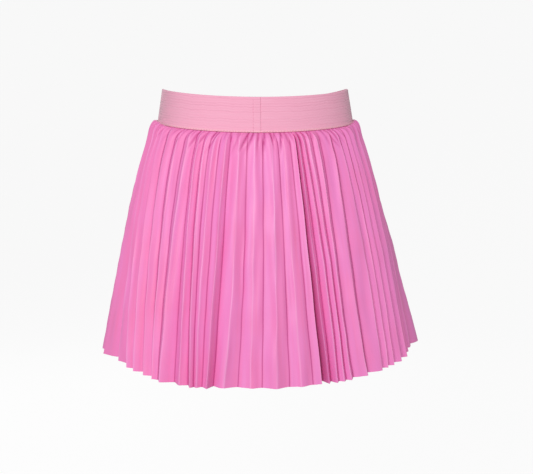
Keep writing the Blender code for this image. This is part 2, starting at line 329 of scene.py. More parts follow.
def panel_creases(pleats, first, last, falls, draw):
    """Turns of one panel's creases, from seam to seam, and how far each stands out of the section.

    Outer and inner creases take turns. An outer crease's turn = its table's turn + a waver, and by the
    band also + its push - crowding * sin(2 * turn).
    Its stand = middle * opening of the stand + half depth * opening of the depth * calm, where both
    openings grow from 0 at the band to 1 at the hem, and the calm makes the upper middle shallower.
    """
    outer = turns_at(pleats, falls)
    pitch = np.gradient(outer[0])
    near_band = np.exp(-np.clip(falls, 0, None) / GATHER_FALL)[:, None]
    push = PUSH * pitch * draw.uniform(-1, 1, len(pleats))
    outer = outer + (push - CROWDING * np.sin(2 * outer)) * near_band
    length = draw.uniform(*WAVER_LENGTHS, len(pleats))
    start = draw.uniform(0, 2 * np.pi, len(pleats))
    outer = outer + WAVER * pitch * np.sin(2 * np.pi * falls[:, None] / length + start)
    lean = column(pleats, "lean", 1)[:-1]
    stand, depth = column(pleats, "stand"), column(pleats, "depth")
    count = 2 * len(pleats) + 1
    turns = np.empty((len(falls), count))
    turns[:, [0]] = turns_at([first], falls)
    turns[:, 1::2] = outer
    turns[:, 2:-1:2] = outer[:, :-1] + lean * (outer[:, 1:] - outer[:, :-1])
    turns[:, [-1]] = turns_at([last], falls)
    middle, half = np.empty(count), np.empty(count)
    middle[1::2], half[1::2] = stand - depth / 2, depth / 2
    middle[2:-1:2], half[2:-1:2] = (stand[1:] + stand[:-1]) / 2 - depth[:-1] / 2, -depth[:-1] / 2
    for end, seam, beside in ((0, first, depth[0]), (-1, last, depth[-1])):
        middle[end], half[end] = seam.stand * MM + beside / 2, -beside / 2
    known = column(OPENING, "fall")
    open_depth, open_stand = (
        smooth_curve(falls, known, column(OPENING, name, 1))[:, None] for name in ("depth", "stand")
    )
    facing = (turns + np.pi) % (2 * np.pi) - np.pi
    fading = np.clip(1 - CALM_FADE * falls / CLOTH_HEIGHT, 0, 1)[:, None]
    calm = 1 - CALM * np.exp(-(facing / CALM_REACH) ** 2) * fading
    return turns, middle * open_stand + half * open_depth * calm


hem_turns, hem_stand = panel_creases(
    FRONT_PLEATS, LEFT_SEAM, RIGHT_SEAM, np.array([CLOTH_HEIGHT]), np.random.default_rng(0)
)
print(f"{hem_turns.shape[1]} creases across the front, {hem_stand.min() / MM:.0f} to",
      f"{hem_stand.max() / MM:.0f} mm out of the section at the hem")

# %% [markdown]
# ## Small gathers and soft dents
#
# Just below the band the cloth bulges between the needle's stitches, and short puckers run down from it.
# Lower down the faces of the pleats aren't quite flat, which is what breaks up their shine. Both are a
# relief: a distance to add to how far the cloth stands out. A pucker is a small valley, and no two are as
# long or as deep. The soft dents are a sum of sine waves that differ in direction, length and start,
# because one wave alone would look like corduroy.

# %% Relief of the cloth
PUCKER_PITCH = 6.6 * MM
PUCKER_STRAY = 0.36  # most that a pucker lies off its even place, as a share of the pitch
PUCKER_WIDTH = 1.15 * MM
PUCKER_DEPTHS = (0.9 * MM, 2.6 * MM)
PUCKER_LENGTHS = (8 * MM, 24 * MM)
PUCKER_SLANT = 0.45  # sideways for each millimetre down, away from the front's middle
PUCKER_SLANT_SPREAD = 0.35
PUCKER_HIP_SHARE = 0.5  # of the depth, at the hips
PUCKER_START = 2 * MM  # fall over which the puckers deepen
DENT_HEIGHT = 0.35 * MM
DENT_WAVES = 14
DENT_LENGTHS = (22 * MM, 90 * MM)
DENT_START = 12 * MM  # fall over which the dents begin
WAIST_RADIUS = 0.125  # turns a turn into a length along the cloth, near enough for a pattern


def puckers(turns, falls, draw):
    """How deep the short folds under the band are, from 0 outside them to 1 in the deepest.

    Each is depth * exp(-(sideways / width)**2) * exp(-(fall / length)**3), where sideways is the distance
    from its slanting line. They are shallower at the hips.
    """
    count = int(np.ptp(turns) * WAIST_RADIUS / PUCKER_PITCH)
    strays = draw.uniform(-PUCKER_STRAY, PUCKER_STRAY, count)
    places = turns.min() + (np.arange(count) + 0.5 + strays) * PUCKER_PITCH / WAIST_RADIUS
    depths = draw.uniform(*PUCKER_DEPTHS, count)
    lengths = draw.uniform(*PUCKER_LENGTHS, count)
    leans = draw.uniform(-1, 1, count)
    total = 0 * turns
    for place, depth, length, lean in zip(places, depths, lengths, leans):
        slant = PUCKER_SLANT * np.sin(place) + PUCKER_SLANT_SPREAD * lean
        sideways = (turns - place) * WAIST_RADIUS - slant * falls
        fold = np.exp(-(sideways / PUCKER_WIDTH) ** 2 - (np.clip(falls, 0, None) / length) ** 3)
        strength = PUCKER_HIP_SHARE + (1 - PUCKER_HIP_SHARE) * np.cos(place) ** 2
        total = np.maximum(total, depth / PUCKER_DEPTHS[1] * strength * fold)
    return total


def dents(turns, falls, draw):
    """Soft unevenness: the mean of sine waves in random directions, and nothing at the band."""
    lengths = draw.uniform(*DENT_LENGTHS, DENT_WAVES)
    angles = draw.uniform(0, np.pi, DENT_WAVES)
    starts = draw.uniform(0, 2 * np.pi, DENT_WAVES)
    total = 0 * turns
    for length, angle, start in zip(lengths, angles, starts):
        along = turns * WAIST_RADIUS * np.cos(angle) + falls * np.sin(angle)
        total = total + np.sin(2 * np.pi * along / length + start)
    return DENT_HEIGHT * total / np.sqrt(DENT_WAVES) * np.clip(falls / DENT_START, 0, 1)


sample_turns, sample_falls = np.meshgrid(np.linspace(-1, 1, 400), np.linspace(0, 12 * MM, 12))
sample = puckers(sample_turns, sample_falls, np.random.default_rng(0))
print(f"puckers cover {100 * (sample > 0.3).mean():.0f} % of the first 12 mm")

# %% [markdown]
# ## The cloth as a wall
#
# Between two creases a face of the pleat is nearly flat, and it bends in its last millimetre. So each face
# gets a few columns of points, close together by the creases, and a straight ramp with rounded ends carries
# it from one crease to the next. Soft cloth doesn't stay as flat as paper, so each face also bellies out or
# in, and by how much changes slowly on its way down. The inner side of the wall can't simply be a smaller
# copy: on a steep face a wall looks thicker when it is measured straight in, by the square root of 1 +
# slope squared.

# %% Points of a panel
CREASE_ROUNDING = 0.06  # share of a face that bends into each crease
FACE_COLUMNS = np.array([0, 0.03, 0.07, 0.18, 0.31, 0.44, 0.56, 0.69, 0.82, 0.93, 0.97])
BELLY = 0.07  # share of a face's width by which it bellies
BELLY_LENGTHS = (110 * MM, 300 * MM)
BELLY_BIAS = 0.8  # most that a face bellies one way only, beside how far its belly swings
TWIST_SHARE = 0.5  # how far a face twists, beside how far it bellies
BELLY_START = 20 * MM  # fall over which the bellies begin
CREASE_LINE = 0.8 * MM  # distance from a crease over which its weight dies away
CREASE_START = 12 * MM  # fall over which that weight begins
# The next two give painted shade: in the puckers, and in folds too narrow for the light.
PUCKER_SHADE = 1.1  # of the deepest pucker, beside an inner crease's weight of 1
NARROW_FOLD_SHADE = 0.55  # of the faces of a fold that is too narrow for the light
NARROW_STEEPNESS = (1.7, 4.5)  # length of a face by its width, where that begins and where it is full

# Other seeds give other puckers, dents and bellies of the same kind.
FRONT_SEED = 11
BACK_SEED = 12

# The roll and the gathers need rows closer together than the pleats below them.
ROLL = (0.5 * MM, 3 * MM)
ROLL_ROWS = 6
GATHERS = (4 * MM, 45 * MM)
GATHER_STEP = 1.6 * MM
PLEAT_ROWS = 38
FALLS = np.concatenate([
    [-TUCK, 0, TUCK_GAP],
    np.linspace(*ROLL, ROLL_ROWS),
    np.arange(*GATHERS, GATHER_STEP),
    np.linspace(GATHERS[1], CLOTH_HEIGHT, PLEAT_ROWS),
])


def rounded_ramp(share):
    """0 to 1 in a straight line between two rounded ends, parabolas that are CREASE_ROUNDING long."""
    r = CREASE_ROUNDING
    low = share ** 2 / (2 * r)
    high = 1 - r - (1 - share) ** 2 / (2 * r)
    return np.where(share < r, low, np.where(share > 1 - r, high, share - r / 2)) / (1 - r)


def bellies(share, face, widths, draw):
    """How far each face curves out of its plane.

    belly * width * (bulge * sin(pi * share) + twist / 2 * sin(2 * pi * share)), where bulge and twist
    swing with the fall, each face's own way.
    """
    count = widths.shape[1]
    swings = []
    for _ in range(2):
        length = draw.uniform(*BELLY_LENGTHS, count)
        start = draw.uniform(0, 2 * np.pi, count)
        bias = draw.uniform(-BELLY_BIAS, BELLY_BIAS, count)
        swing = np.sin(2 * np.pi * FALLS[:, None] / length + start) + bias
        swings.append((BELLY * widths * swing)[:, face])
    bulge, twist = swings
    return bulge * np.sin(np.pi * share) + TWIST_SHARE * twist * np.sin(2 * np.pi * share)


def panel_faces(pleats, first, last, seed):
    """Outer face, inner face, crease weights and pleat numbers of one panel, each as rows by columns."""
    draw = np.random.default_rng(seed)
    turns, stand = panel_creases(pleats, first, last, FALLS, draw)
    half_gap = SEAM_GAP / 2 / WAIST_RADIUS
    turns[:, 0] += half_gap
    turns[:, -1] -= half_gap
    faces = turns.shape[1] - 1
    share = np.append(np.tile(FACE_COLUMNS, faces), 1.0)
    face = np.append(np.repeat(np.arange(faces), len(FACE_COLUMNS)), faces - 1)
    fine_turns = turns[:, face] + (turns[:, face + 1] - turns[:, face]) * share
    corners, _ = section(turns, FALLS[:, None] + 0 * turns, CLOTH_LEVELS)
    widths = np.linalg.norm(np.diff(corners, axis=1), axis=-1)
    fine_stand = stand[:, face] + (stand[:, face + 1] - stand[:, face]) * rounded_ramp(share)
    falls = FALLS[:, None] + 0 * fine_turns
    fine_stand = fine_stand + bellies(share, face, widths, draw) * np.clip(falls / BELLY_START, 0, 1)
    points, out = section(fine_turns, falls, CLOTH_LEVELS)
    folds = puckers(fine_turns, falls, draw)
    sunk = PUCKER_DEPTHS[1] * folds * np.clip(falls / PUCKER_START, 0, 1)
    relief = dents(fine_turns, falls, draw) - sunk
    outer = points + out * (fine_stand + relief)[..., None]

    steep = np.sqrt(1 + (np.diff(stand, axis=1) / widths) ** 2)
    at_crease = np.concatenate([steep[:, :1], (steep[:, 1:] + steep[:, :-1]) / 2, steep[:, -1:]], axis=1)
    inward = np.where(share == 0, at_crease[:, face], steep[:, face])
    inward[:, -1] = at_crease[:, -1]
    inner = outer - out * (CLOTH_THICKNESS * inward)[..., None]

    # Crease weights: above zero a painted highlight by an outer crease, below zero painted shade by an inner
    # crease, in a narrow fold and in a pucker.
    nearest = np.where(share < 0.5, face, face + 1)
    sign = np.where(nearest % 2 == 1, 1.0, -1.0)
    away = np.minimum(share, 1 - share) * widths[:, face]
    light_and_shade = sign * np.exp(-(away / CREASE_LINE) ** 2) * np.clip(falls / CREASE_START, 0, 1)
    start, full = NARROW_STEEPNESS
    narrow_shade = NARROW_FOLD_SHADE * np.clip((inward - start) / (full - start), 0, 1)
    light_and_shade = light_and_shade * (1 - narrow_shade) - narrow_shade - PUCKER_SHADE * folds
    return outer, inner, light_and_shade, face + share + 0 * falls


outer, inner, light_and_shade, number = panel_faces(FRONT_PLEATS, LEFT_SEAM, RIGHT_SEAM, FRONT_SEED)
top_width, hem_width = (np.linalg.norm(np.diff(outer[row], axis=0), axis=-1).sum() for row in (0, -1))
print(f"front panel: {outer.shape[0]} rows of {outer.shape[1]} points,",
      f"flat width {top_width:.3f} to {hem_width:.3f} m")

# %% [markdown]
# ## From points to a mesh
#
# Blender wants a list of points and a list of faces. The faces of a grid are a pattern of index numbers, so
# they are worked out as arrays too. A wall needs its outer side, its inner side the other way round, and
# four strips that close its rims. Each point also carries three things for the materials: how near a crease
# it is, below zero for an inner one, which places painted highlight and shade; the number of its face in the
# row of pleats, which also sets the painted light of alternate faces; and its place on the flat cloth in
# metres, which Blender calls a UV map.

# %% A closed wall
SHARP_ANGLE = np.radians(66)  # a steeper edge, such as the hem's, keeps its line in the shading


def grid_faces(index):
    """Quads of a grid of point numbers, turned so that they face out when turns grow to the right."""
    return np.stack([index[:-1, :-1], index[1:, :-1], index[1:, 1:], index[:-1, 1:]], axis=-1).reshape(-1, 4)


def flat_places(points):
    """Where each point lies on the flat cloth: distance along its row, and distance down its column."""
    along = np.linalg.norm(np.diff(points, axis=1, prepend=points[:, :1]), axis=-1).cumsum(axis=1)
    down = np.linalg.norm(np.diff(points, axis=0, prepend=points[:1]), axis=-1).cumsum(axis=0)
    return np.stack([along - along[:, -1:] / 2, down.mean(axis=1, keepdims=True) + 0 * along], axis=-1)


def wall(name, outer, inner, light_and_shade, number, finishes):
    """A closed wall from two faces with the same rows and columns."""
    count = outer.shape[0] * outer.shape[1]
    front = np.arange(count).reshape(outer.shape[:2])
    back = front + count
    sides = [
        grid_faces(front),
        grid_faces(back)[:, ::-1],
        grid_faces(np.stack([back[0], front[0]])),
        grid_faces(np.stack([front[-1], back[-1]])),
        grid_faces(np.stack([back[:, 0], front[:, 0]], axis=1)),
        grid_faces(np.stack([front[:, -1], back[:, -1]], axis=1)),
    ]
    faces = np.concatenate(sides)
    mesh = bpy.data.meshes.new(name)
    points = np.concatenate([outer.reshape(-1, 3), inner.reshape(-1, 3)])
    mesh.from_pydata(points, [], faces)
    for finish in finishes:
        mesh.materials.append(finish)
    lining = np.concatenate([np.full(len(side), side is sides[1]) for side in sides]).astype(np.int32)
    mesh.polygons.foreach_set("material_index", lining)
    # The crease weights and pleat numbers place painted light and shade in the materials.
    for field, front_values, back_values in (("crease", light_and_shade, 0 * light_and_shade), ("pleat", number, number)):
        attribute = mesh.attributes.new(field, "FLOAT", "POINT")
        values = np.concatenate([front_values.ravel(), back_values.ravel()])
        attribute.data.foreach_set("value", values.astype(np.float32))
    places = np.concatenate([flat_places(outer).reshape(-1, 2)] * 2)
    mesh.uv_layers.new(name="flat").data.foreach_set("uv", places[faces.ravel()].astype(np.float32).ravel())
    mesh.shade_smooth()
    mesh.set_sharp_from_angle(angle=SHARP_ANGLE)
    piece = bpy.data.objects.new(name, mesh)
    bpy.context.collection.objects.link(piece)
    print(f"{name}: {2 * len(faces)} triangles")
    return piece


# %% [markdown]
# ## Arithmetic for materials
#
# A material is a graph of nodes, and wiring it by hand hides the formula behind it. So a small class wraps
# a node's output and overloads Python's operators: `crease * 0.2 + 1` then adds the two Math nodes by
# itself. Every other node comes from one method, which takes the node's type, its settings and what its
# sockets get.

# %% Node helpers
class Finish:
    """A material in the making, around one Principled shader."""

    def __init__(self, name, **fixed):
        self.material = bpy.data.materials.new(name)
        self.material.use_nodes = True
        self.tree = self.material.node_tree
        self.shader = self.tree.nodes["Principled BSDF"]
        for socket, value in fixed.items():
            self.shader.inputs[socket.replace("_", " ").title().replace("Ior", "IOR")].default_value = value

    def node(self, kind, settings=(), inputs=(), output=0):
        """Adds one node, sets it up, fills its sockets, and gives back one of its outputs."""
        made = self.tree.nodes.new(kind)
        for name, value in dict(settings).items():
            setattr(made, name, value)
        for socket, value in dict(inputs).items():
            if isinstance(value, Value):
                self.tree.links.new(value.socket, made.inputs[socket])
            else:
                made.inputs[socket].default_value = value
        return Value(self, made.outputs[output])

    def feed(self, **inputs):
        """Links values to the shader's own sockets."""
        for socket, value in inputs.items():
            self.tree.links.new(value.socket, self.shader.inputs[socket.replace("_", " ").title()])

    def blend(self, share, start, end):
        """A colour part of the way from start to end."""
        return self.node("ShaderNodeMix", {"data_type": "RGBA"}, {0: share, 6: start, 7: end}, output=2)


class Value:
    """A node's output that takes part in sums. Each operator adds one Math node."""

    def __init__(self, finish, socket):
        self.finish = finish
        self.socket = socket

    def math(self, operation, *others):
        inputs = dict(enumerate((self, *others)))
        return self.finish.node("ShaderNodeMath", {"operation": operation}, inputs)

    def __add__(self, other):
        return self.math("ADD", other)

    def __mul__(self, other):
        return self.math("MULTIPLY", other)

    def __sub__(self, other):
        return self.math("SUBTRACT", other)

    def __rsub__(self, other):
        return (self * -1) + other

    __radd__ = __add__
    __rmul__ = __mul__

    def within(self):
        """The value held between 0 and 1."""
        return self.math("MAXIMUM", 0.0).math("MINIMUM", 1.0)


print("node helpers ready")

# %% [markdown]
# ## Faux leather
#
# Faux leather is a cloth with a skin of soft plastic. The skin has a fine pebbled grain and a satin shine,
# and it is pressed a little smoother on the outer creases, where a painted highlight lies along them. Painted
# shade deepens the colour in inner creases, narrow folds and puckers, where light bounces from pink to pink.
# Alternate faces of the pleats lean to orchid, as if lit, and to rose, as if shaded, which is painted light
# too. A Voronoi texture gives the pebbles, at their real size because the coordinates are in metres, and the
# crease weights of the points place the painted highlight and shade. The heat press also left long faint
# streaks that follow the pleats: a noise that is read at the pleat number and at the fall stretches along
# them by itself.

# %% Faux leather
LEATHER_ROSE = (0.91, 0.215, 0.49, 1)
LEATHER_ORCHID = (0.89, 0.245, 0.59, 1)
# Painted highlight, for the outer creases.
LEATHER_HIGHLIGHT = (0.95, 0.42, 0.70, 1)
# Painted shade, for inner creases, narrow folds and puckers.
LEATHER_SHADE = (0.55, 0.05, 0.24, 1)
STREAKS_PER_FACE = 2.8
STREAK_LENGTHS_PER_METRE = 5.0
STREAK_HEIGHT = 0.45 * MM
CLOUDS_PER_METRE = 14.0
PEBBLES_PER_METRE = 950.0
PORES_PER_METRE = 2600.0
PORE_SHARE = 0.25
GRAIN_HEIGHT = 0.12 * MM
# How much orchid there is in the rose: everywhere, at random by the streak and the cloud, and by the face as
# painted light, with alternate faces of the pleats more orchid, as if lit, and more rose, as if shaded.
Tint = namedtuple("Tint", "everywhere face streak cloud")
TINT = Tint(everywhere=0.68, face=0.22, streak=1.8, cloud=1.2)
# How a streak changes the colour: the weakest that does, and how fast it does so above that.
Shading = namedtuple("Shading", "floor gain")
HIGHLIGHT_STREAKS = Shading(floor=0.25, gain=1.7)  # on an outer crease
SHADE_SHARE = 0.95  # of the deep colour, in an inner crease
ROUGHNESS = 0.43
CLOUD_ROUGHNESS = 0.10  # added by the cloud
CREASE_ROUGHNESS = 0.03  # taken off on an outer crease, and added in an inner one


def make_faux_leather():
    finish = Finish("faux_leather", ior=1.46)
    place = finish.node("ShaderNodeTexCoord", output="Object")
    crease = finish.node("ShaderNodeAttribute", {"attribute_name": "crease"}, output="Fac")
    pleat = finish.node("ShaderNodeAttribute", {"attribute_name": "pleat"}, output="Fac")
    flat = finish.node("ShaderNodeUVMap", {"uv_map": "flat"})
    down = finish.node("ShaderNodeSeparateXYZ", (), {"Vector": flat}, output="Y")
    along_pleat = finish.node("ShaderNodeCombineXYZ", (), {
        "X": pleat * STREAKS_PER_FACE, "Y": down * STREAK_LENGTHS_PER_METRE,
    })
    streak = finish.node("ShaderNodeTexNoise", (), {"Vector": along_pleat, "Scale": 1.0, "Detail": 3.0})
    cloud = finish.node("ShaderNodeTexNoise", (), {"Vector": place, "Scale": CLOUDS_PER_METRE, "Detail": 3.0})
    pebble = finish.node("ShaderNodeTexVoronoi", {"feature": "SMOOTH_F1"}, {
        "Vector": place, "Scale": PEBBLES_PER_METRE,
    })
    pore = finish.node("ShaderNodeTexNoise", (), {"Vector": place, "Scale": PORES_PER_METRE, "Detail": 2.0})
    # Painted light: alternate faces of the pleats lean to orchid, as lit, and to rose, as shaded.
    facing = (pleat * np.pi).math("SINE")
    uneven = (streak - 0.5) * TINT.streak + (cloud - 0.5) * TINT.cloud
    tint = (TINT.everywhere + facing * TINT.face + uneven).within()
    ground = finish.blend(tint, LEATHER_ROSE, LEATHER_ORCHID)
    # A painted highlight along the outer creases, made uneven by the streak.
    light = crease * (streak - HIGHLIGHT_STREAKS.floor) * HIGHLIGHT_STREAKS.gain
    highlit = finish.blend(light.within(), ground, LEATHER_HIGHLIGHT)
    # Painted shade where the crease weight is below zero: inner creases, narrow folds and puckers.
    colour = finish.blend((crease * -SHADE_SHARE).within(), highlit, LEATHER_SHADE)
    waves = finish.node("ShaderNodeBump", (), {"Strength": 1.0, "Distance": STREAK_HEIGHT, "Height": streak})
    grain = finish.node("ShaderNodeBump", (), {
        "Strength": 0.35, "Distance": GRAIN_HEIGHT, "Height": pebble + pore * PORE_SHARE, "Normal": waves,
    })
    roughness = ROUGHNESS + cloud * CLOUD_ROUGHNESS - crease * CREASE_ROUGHNESS
    finish.feed(base_color=colour, roughness=roughness, normal=grain)
    return finish.material


faux_leather = make_faux_leather()
print("faux leather:", len(faux_leather.node_tree.nodes), "nodes")

# %% [markdown]
# ## The cloth under the skin
#
# Seen from inside, through the waist or under the hem, faux leather shows the knit that carries its skin.
# It is matt and paler. Its loops are two sine waves across the flat cloth, so this material reads the UV
# map and not the object's coordinates: a knit follows the folds of its cloth.

# %% Knit backing
KNIT_PALE = (0.86, 0.36, 0.56, 1)
KNIT_DEEP = (0.70, 0.20, 0.40, 1)
KNIT_PITCH = 1.0 * MM
ROWS_PER_PITCH = 1.4  # loops are wider than they are high
FUZZ_PER_METRE = 60.0
KNIT_HEIGHT = 0.2 * MM
LOOP_SHARE = 0.45  # of the pale colour, on top of a loop
FUZZ_SHARE = 0.5  # and where the fuzz is thickest


def make_backing():
    finish = Finish("knit_backing", roughness=0.9, sheen_weight=0.25, sheen_roughness=0.5)
    place = finish.node("ShaderNodeUVMap", {"uv_map": "flat"})
    along = finish.node("ShaderNodeSeparateXYZ", (), {"Vector": place}, output="X")
    down = finish.node("ShaderNodeSeparateXYZ", (), {"Vector": place}, output="Y")
    turn = 2 * np.pi / KNIT_PITCH
    loops = (along * turn).math("SINE") * (down * turn * ROWS_PER_PITCH).math("SINE") * 0.5 + 0.5
    fuzz = finish.node("ShaderNodeTexNoise", (), {"Vector": place, "Scale": FUZZ_PER_METRE, "Detail": 4.0})
    bump = finish.node("ShaderNodeBump", (), {"Strength": 0.5, "Distance": KNIT_HEIGHT, "Height": loops})
    colour = finish.blend((loops * LOOP_SHARE + fuzz * FUZZ_SHARE).within(), KNIT_DEEP, KNIT_PALE)
    finish.feed(base_color=colour, normal=bump)
    return finish.material


knit_backing = make_backing()
print("knit backing:", len(knit_backing.node_tree.nodes), "nodes")

# %% [markdown]
# ## Sew the panels on
#
# With the points, the wall and the finishes ready, one loop sews on both panels.

# %% Front and back panel
for name, pleats, first, last, seed in (
    ("skirt_front", FRONT_PLEATS, LEFT_SEAM, RIGHT_SEAM, FRONT_SEED),
    ("skirt_back", back_pleats(), RIGHT_SEAM, LEFT_SEAM_AGAIN, BACK_SEED),
):
    outer, inner, light_and_shade, number = panel_faces(pleats, first, last, seed)
    piece = wall(name + "_cloth", outer, inner, light_and_shade, number, (faux_leather, knit_backing))
    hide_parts(name)
    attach(piece, "root")

# %% [markdown]
# ## The elastic waistband
#
# Wide elastic is woven round rubber cords, and each cord shows as a rib. The ribs stand out more in the
# band's upper part. The strip's two ends meet in a seam, with its allowance turned to one side and stitched
# down. All of this is one profile along the height, bent round the same section as the cloth, plus what the
# seam does to it.

# %% Points of the waistband
RIBS = 14
ROWS_PER_RIB = 7
RIB_HEIGHT = 0.34 * MM
# Depth of each groove as a share of the deepest: at the top edge, 13 between the ribs, at the lower edge.
GROOVE_SHARES = (0.5, 0.9, 0.4, 0.9, 1.0, 0.45, 1.0, 0.3, 0.35, 0.75, 0.55, 0.25, 0.5, 0.2, 0.2)
BAND_COLUMNS = 330
JOIN_COLUMNS = 46
JOIN_REACH = 15 * MM  # the columns are closer together this far on each side of the join
JOIN_GAP = 0.02 * MM
JOIN_WIDTH = 0.6 * MM
JOIN_DEPTH = 0.35 * MM
JOIN_SHADE = 0.5  # how much the join darkens, beside a groove between two ribs
ALLOWANCE = 11 * MM  # its stitching lies this far to the left of the join
ALLOWANCE_LIFT = 0.45 * MM
ALLOWANCE_RAMP = 3 * MM
STITCH_LINE_DEPTH = 0.3 * MM
STITCH_LINE_WIDTH = 0.8 * MM
EDGE_ROUNDING = 0.6 * MM
EDGE_DROP = 0.8  # share of the rounding by which the outer face curves in
INNER_EDGE_DROP = 0.5  # and by which the inner face does
EDGE_SHARES = np.array([0.002, 0.006, 0.012])  # rows close to an edge, as shares of the band's height
SIDE_POWER = 10  # of sin(turn): the higher, the closer the deeper grooves and the grey keep to the sides
SIDE_SHARE = 0.8  # how much the shallow grooves deepen at the sides
RIB_WOBBLES = ((0.10, 31 * MM), (0.08, 12.3 * MM), (0.12, 77 * MM))  # shares of a rib, and lengths


def near_edge(down):
    """1 at both edges of the band, and 0 where their rounding ends."""
    return np.clip(1 - np.minimum(down, 1 - down) * BAND_HEIGHT / EDGE_ROUNDING, 0, 1)


def rib_profile(arc, down, side):
    """How far the band stands out at this arc and share of its height, and how deep in a groove that is.

    Each rib is height * (1 - groove share * (2 * place in the rib - 1)**4), and both edges curve in like a
    quarter of an ellipse.
    The ribs wobble up and down a little, by a sum of sines along the band. At the sides the band bends
    most, and all its grooves are nearly as deep.
    """
    ribs = down * RIBS + sum(size * np.sin(2 * np.pi * arc / length) for size, length in RIB_WOBBLES)
    rib = np.clip(np.floor(ribs), 0, RIBS - 1)
    share = np.take(GROOVE_SHARES, np.clip(np.round(ribs), 0, RIBS).astype(int))
    share = share + (1 - share) * SIDE_SHARE * side
    groove = np.clip(2 * (ribs - rib) - 1, -1, 1) ** 4 * share
    edge = near_edge(down)
    drop = EDGE_ROUNDING * EDGE_DROP * (1 - np.sqrt(1 - edge ** 2))
    return (1 - groove) * RIB_HEIGHT * (1 - edge) - drop, groove


def join_relief(arc, down):
    """What the join does: a narrow groove at arc 0, a raised allowance to its left, and its stitch line."""
    groove = -JOIN_DEPTH * np.exp(-(arc / JOIN_WIDTH) ** 2)
    ramp = np.clip((arc + ALLOWANCE) / ALLOWANCE_RAMP + 0.5, 0, 1) * (arc < 0)
    line = -STITCH_LINE_DEPTH * np.exp(-((arc + ALLOWANCE) / STITCH_LINE_WIDTH) ** 2)
    return groove + ALLOWANCE_LIFT * ramp + line + 0 * down


def band_faces():
    """Outer face, inner face, crease weights and nearness to a side, from the join round to it again."""
    half_gap = JOIN_GAP / 2 / (BAND_TOP.front * MM)
    reach = JOIN_REACH / (BAND_TOP.left * MM)
    turns = np.concatenate([
        np.linspace(half_gap, reach, JOIN_COLUMNS)[:-1],
        np.linspace(reach, 2 * np.pi - reach, BAND_COLUMNS)[:-1],
        np.linspace(2 * np.pi - reach, 2 * np.pi - half_gap, JOIN_COLUMNS),
    ])
    rows = np.linspace(0, 1, RIBS * ROWS_PER_RIB + 1)
    down = np.unique(np.concatenate([rows, EDGE_SHARES, 1 - EDGE_SHARES]))
    turns, down = np.meshgrid(turns, down)
    points, out = section(turns, BAND_HEIGHT * (down - 1), (BAND_TOP, BAND_FOOT))
    steps = np.linalg.norm(np.diff(points, axis=1, prepend=points[:, :1]), axis=-1)
    arc = steps.cumsum(axis=1)
    arc = np.where(arc > arc[:, -1:] / 2, arc - arc[:, -1:], arc)
    # Nearness to a side: it deepens the grooves, and the elastic paints shade there, as the sides turn away
    # from the light.
    side = np.abs(np.sin(turns)) ** SIDE_POWER
    ribs, groove = rib_profile(arc, down, side)
    relief = ribs + join_relief(arc, down)
    outer = points + out * relief[..., None]
    thickness = BAND_THICKNESS - INNER_EDGE_DROP * EDGE_ROUNDING * near_edge(down) ** 2
    inner = points - out * thickness[..., None]
    # Rib weights: 1 on a rib, lower in a groove and at the join; the elastic paints shade where they are low.
    light_and_shade = 1 - groove - JOIN_SHADE * np.exp(-(arc / JOIN_WIDTH) ** 2)
    return outer, inner, light_and_shade, side


outer, inner, light_and_shade, side = band_faces()
print(f"waistband: {outer.shape[0]} rows of {outer.shape[1]} points,",
      f"ribs raised up to {RIB_HEIGHT / MM:.2f} mm")

# %% [markdown]
# The elastic's finish is matt. Its yarns run across the ribs, a little more than one to each millimetre,
# and along each rib the colour is streaky, because the cord inside stretches unevenly. The grooves between
# the ribs get painted shade, broken up by the same streaks. The selvedge, the woven edge without a cord, is a
# little paler. At the sides, which turn away from the light, painted shade streaks the band with grey along
# the ribs. The band has neither creases nor pleats, so its "crease" values say how high on a rib a point is,
# which places the painted groove shade, and its "pleat" values how near a side, which places the painted
# side shade.

# %% Elastic
ELASTIC_PINK = (0.89, 0.365, 0.52, 1)
# Painted shade, for the grooves.
ELASTIC_GROOVE_SHADE = (0.66, 0.20, 0.33, 1)
ELASTIC_PALE = (0.93, 0.47, 0.62, 1)
# Painted shade, for the sides.
ELASTIC_SIDE_SHADE = (0.42, 0.24, 0.30, 1)
ELASTIC_SELVEDGE = (0.92, 0.50, 0.57, 1)
SELVEDGE_WIDTH = 2.2 * MM
SELVEDGE_FADE = 1.0 * MM
SELVEDGE_SHARE = 0.7  # of the selvedge's colour, in the selvedge
YARN_PITCH = 0.8 * MM
YARN_HEIGHT = 0.25 * MM
YARN_RELIEF = 0.6  # beside the streaks' relief
STREAKS_PER_METRE = (22, 800, 1)  # along the band, and down it
# The dark streaks in the grooves and the grey streaks at the sides are painted shade.
GROOVE_SHADE_STREAKS = Shading(floor=0.3, gain=2.8)  # in a groove
PALE_STREAKS = Shading(floor=0.2, gain=1.2)  # everywhere
SIDE_SHADE_STREAKS = Shading(floor=0.25, gain=2.0)  # at the sides
GROOVE_SHADE_SHARE = 0.62  # of the dark streaks' colour, in the deepest groove
YARN_SHARE = 0.2  # of the pale colour, on top of a yarn


